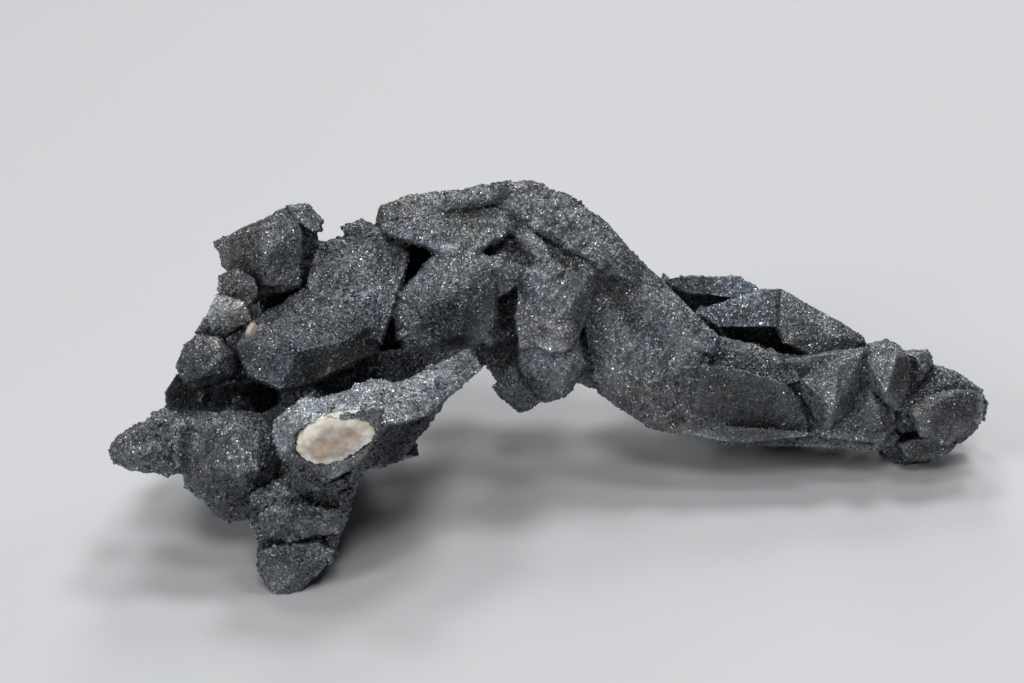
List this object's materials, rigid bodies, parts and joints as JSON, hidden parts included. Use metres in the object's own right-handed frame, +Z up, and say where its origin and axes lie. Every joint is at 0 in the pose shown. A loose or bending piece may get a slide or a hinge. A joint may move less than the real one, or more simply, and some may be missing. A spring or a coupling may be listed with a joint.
{
  "type": "hematite crystal specimen",
  "caption": "Branching cluster of grown-together hematite crystals, steel grey and sparkling, with a raised arm, a broken blade with a pale calcite core, for display.",
  "frame": {"origin": "middle of the overall box in X and Y, at the level of the three feet that the specimen rests on", "axes": "+X along the raised arm, away from the thick end; +Y away from the side with the broken blade; +Z up from the resting plane"},
  "size_m": [0.1354, 0.0718, 0.0514],
  "materials": {
    "hematite": "steel grey with a metallic lustre, covered in fine sparkling crystals",
    "calcite": "cream, dull, broken across",
    "calcite_grain": "cream, slightly glassy"
  },
  "bodies": {
    "root": {"hematite_cluster": "hematite", "calcite_core": "calcite", "calcite_grain": "calcite_grain"}
  },
  "joints": []
}
